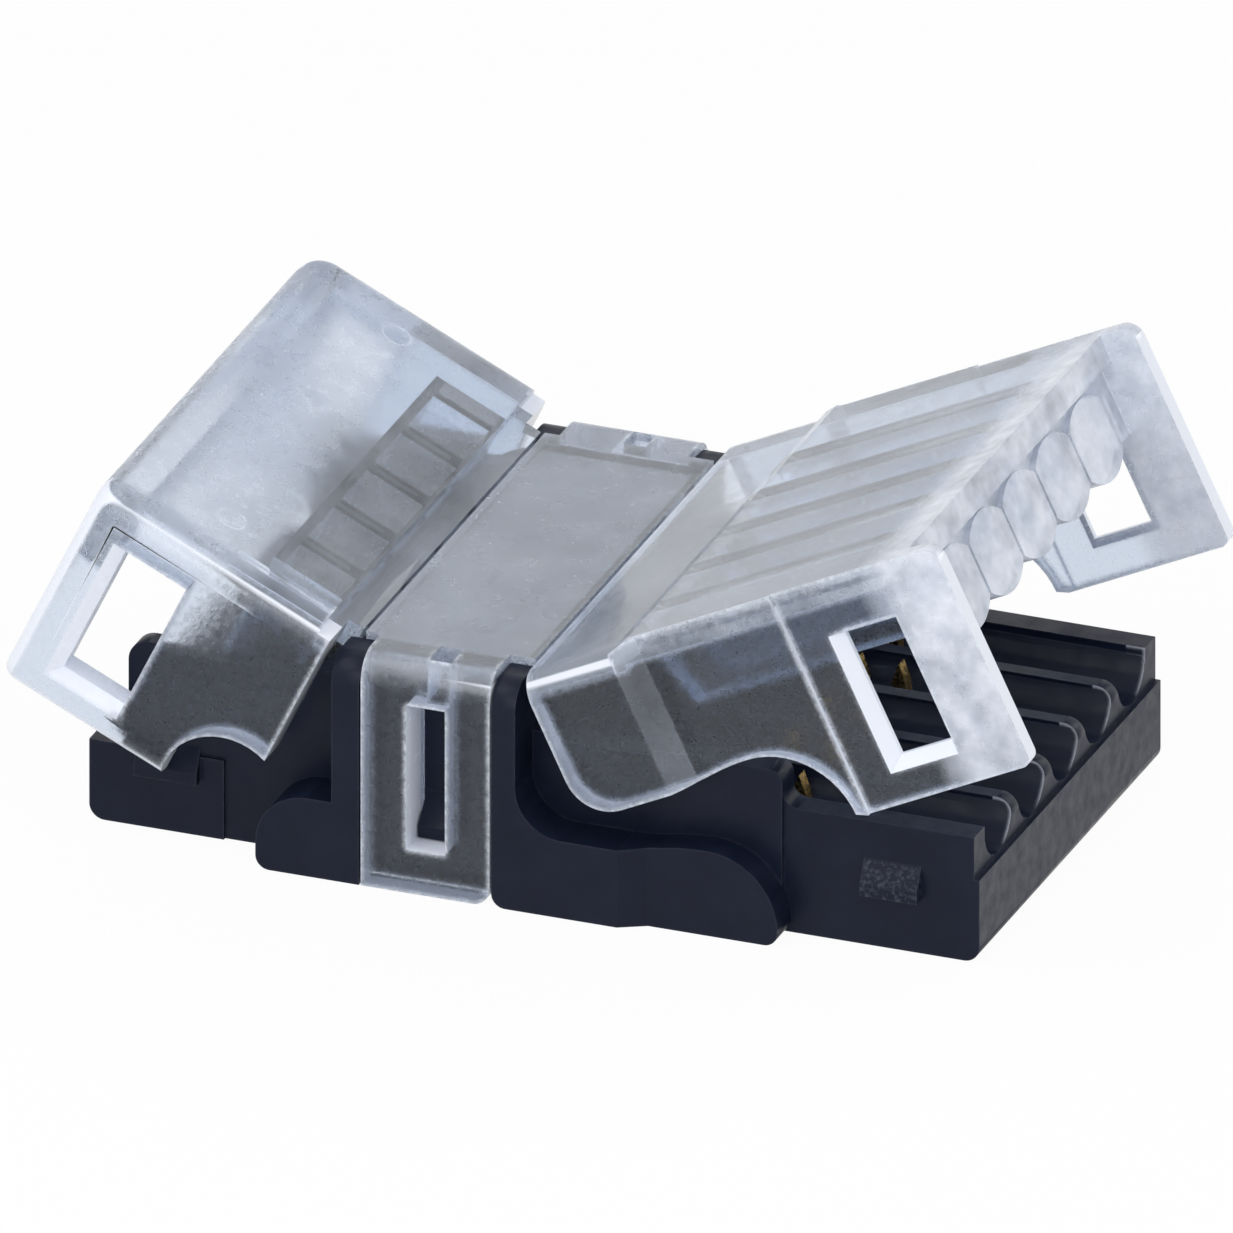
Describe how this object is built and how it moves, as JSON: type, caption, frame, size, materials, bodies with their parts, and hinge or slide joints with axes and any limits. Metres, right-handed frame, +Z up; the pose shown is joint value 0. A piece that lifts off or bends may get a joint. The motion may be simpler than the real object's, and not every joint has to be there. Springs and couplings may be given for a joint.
{
  "type": "led strip connector",
  "caption": "Clamshell connector that joins an LED strip to stripped or insulated wires by piercing pins, with clear hinged lids over a black base.",
  "frame": {"origin": "middle of the underside of the base, on the centre plane between the side cheeks", "axes": "+X from the strip's end towards the wires' end, +Y across the channels, +Z up from the underside"},
  "size_m": [0.0297, 0.0164, 0.0125],
  "materials": {
    "black_plastic": "satin black moulding",
    "clear_plastic": "clear, slightly frosted moulding",
    "contact_brass": "plain blanked brass"
  },
  "bodies": {
    "base": {"base_housing": "black_plastic", "centre_cover": "clear_plastic", "contact_1": "contact_brass", "contact_2": "contact_brass", "contact_3": "contact_brass", "contact_4": "contact_brass", "contact_5": "contact_brass"},
    "strip_cover": {"strip_lid": "clear_plastic"},
    "wire_cover": {"wire_lid": "clear_plastic"}
  },
  "joints": [
    {"name": "strip_lid_hinge", "type": "hinge", "parent": "base", "child": "strip_cover", "pos_m": [-0.0049, 0, 0.00685], "axis": [0, 1, 0], "range_deg": [-25.6, 64.4]},
    {"name": "wire_lid_hinge", "type": "hinge", "parent": "base", "child": "wire_cover", "pos_m": [0.0001, 0, 0.00685], "axis": [0, -1, 0], "range_deg": [-25.6, 64.4]}
  ]
}
